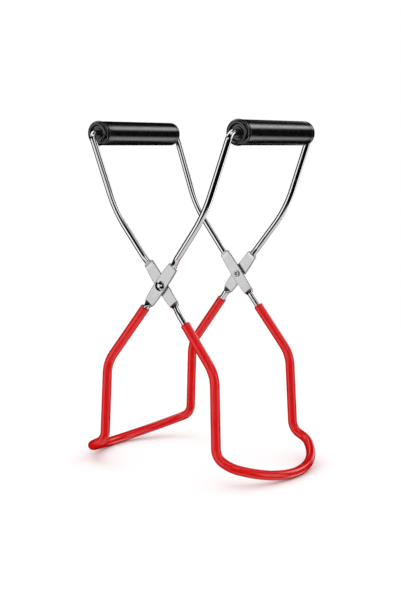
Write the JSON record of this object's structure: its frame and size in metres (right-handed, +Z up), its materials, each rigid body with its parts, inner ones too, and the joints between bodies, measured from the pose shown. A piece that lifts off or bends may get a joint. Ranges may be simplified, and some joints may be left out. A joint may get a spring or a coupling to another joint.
{
  "type": "jar lifter",
  "caption": "Scissor-action jar lifter of bent wire: squeezing the black roller grips closes the red coated half-round jaws under the rim of a hot canning jar.",
  "frame": {"origin": "on the floor under the point midway between the two pivot rivets, at the lowest point of the jaws", "axes": "+Z up from the jaws to the grips; +Y along the pivot axis and both grips, towards the back; +X across the jaws, towards the inner frame's jaw"},
  "size_m": [0.1486, 0.1006, 0.2168],
  "materials": {
    "plated_wire": "bright plated round wire, satin pressed leaves",
    "red_vinyl": "glossy dipped vinyl",
    "grip_plastic": "semi-gloss moulded plastic",
    "grip_cap_plastic": "semi-gloss moulded plastic",
    "rivet_steel": "tumbled bright plated steel"
  },
  "bodies": {
    "outer_frame": {"outer_frame_wire": "plated_wire", "outer_jaw_sleeve": "red_vinyl", "front_pivot_rivet": "rivet_steel", "back_pivot_rivet": "rivet_steel"},
    "inner_frame": {"inner_frame_wire": "plated_wire", "inner_jaw_sleeve": "red_vinyl"},
    "inner_grip": {"inner_grip_tube": "grip_plastic", "inner_front_grip_cap": "grip_cap_plastic", "inner_back_grip_cap": "grip_cap_plastic"},
    "outer_grip": {"outer_grip_tube": "grip_plastic", "outer_front_grip_cap": "grip_cap_plastic", "outer_back_grip_cap": "grip_cap_plastic"}
  },
  "joints": [
    {"name": "jaw_pivot", "type": "hinge", "parent": "outer_frame", "child": "inner_frame", "pos_m": [0, 0, 0.11723], "axis": [0, 1, 0], "range_deg": [-80, 43]},
    {"name": "inner_grip_spin", "type": "hinge", "parent": "inner_frame", "child": "inner_grip", "pos_m": [-0.05176, 0, 0.20903], "axis": [0, 1, 0], "continuous": true},
    {"name": "outer_grip_spin", "type": "hinge", "parent": "outer_frame", "child": "outer_grip", "pos_m": [0.05176, 0, 0.20903], "axis": [0, 1, 0], "continuous": true}
  ]
}
